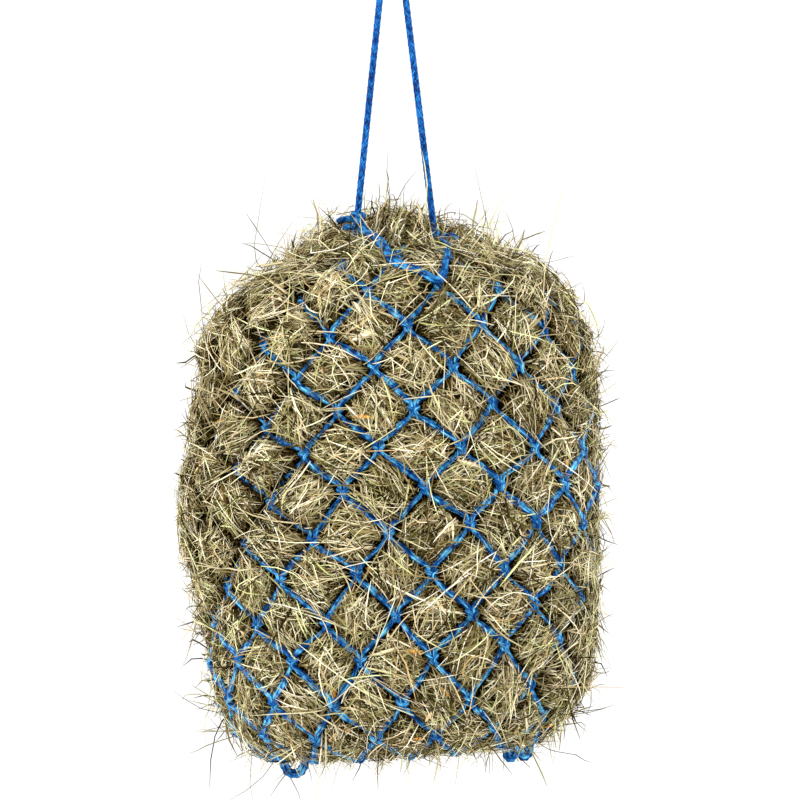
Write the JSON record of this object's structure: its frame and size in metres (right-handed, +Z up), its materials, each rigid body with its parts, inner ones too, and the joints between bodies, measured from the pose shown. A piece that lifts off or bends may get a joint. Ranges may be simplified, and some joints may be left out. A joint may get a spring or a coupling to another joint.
{
  "type": "hay net",
  "caption": "Knotted diamond-mesh net bag, stuffed with hay, hanging from the loop of its reeved drawcord.",
  "frame": {"origin": "the point inside the drawcord's bight that rests on the hook", "axes": "+Z up, +X to the right and -Y towards the viewer when the front of the net is looked at; +X runs along the bottom seam"},
  "size_m": [0.3617, 0.3055, 0.6984],
  "materials": {
    "net_twine": "flat plaited polypropylene twine, royal blue, lengthwise sheen",
    "drawcord": "round plaited polypropylene cord, azure blue, satin",
    "hay": "dry meadow hay, straw beige to olive green, matt"
  },
  "bodies": {
    "hanger": {"drawcord_bight": "drawcord"},
    "ropes": {"drawcord_left_run": "drawcord", "drawcord_right_run": "drawcord"},
    "bag": {"hay_fill": "hay", "selvedge_course": "net_twine", "net_course_01": "net_twine", "net_course_02": "net_twine", "net_course_03": "net_twine", "net_course_04": "net_twine", "net_course_05": "net_twine", "net_course_06": "net_twine", "net_course_07": "net_twine", "net_course_08": "net_twine", "net_course_09": "net_twine", "net_course_10": "net_twine", "net_course_11": "net_twine", "net_course_12": "net_twine", "net_course_13": "net_twine", "net_course_14": "net_twine", "bottom_lacing": "net_twine", "corner_loop_left": "net_twine", "corner_loop_right": "net_twine", "drawcord_mouth_front": "drawcord", "drawcord_mouth_back": "drawcord", "drawcord_left_knot": "drawcord", "drawcord_right_knot": "drawcord", "drawcord_tail": "drawcord"}
  },
  "joints": [
    {"name": "side_swing", "type": "hinge", "parent": "hanger", "child": "ropes", "pos_m": [0, 0, 0], "axis": [0, 1, 0], "range_deg": [-35, 35]},
    {"name": "bag_rock", "type": "hinge", "parent": "ropes", "child": "bag", "pos_m": [-0.0306, 0, -0.1935], "axis": [0.9676, 0, -0.2524], "range_deg": [-30, 30]}
  ]
}
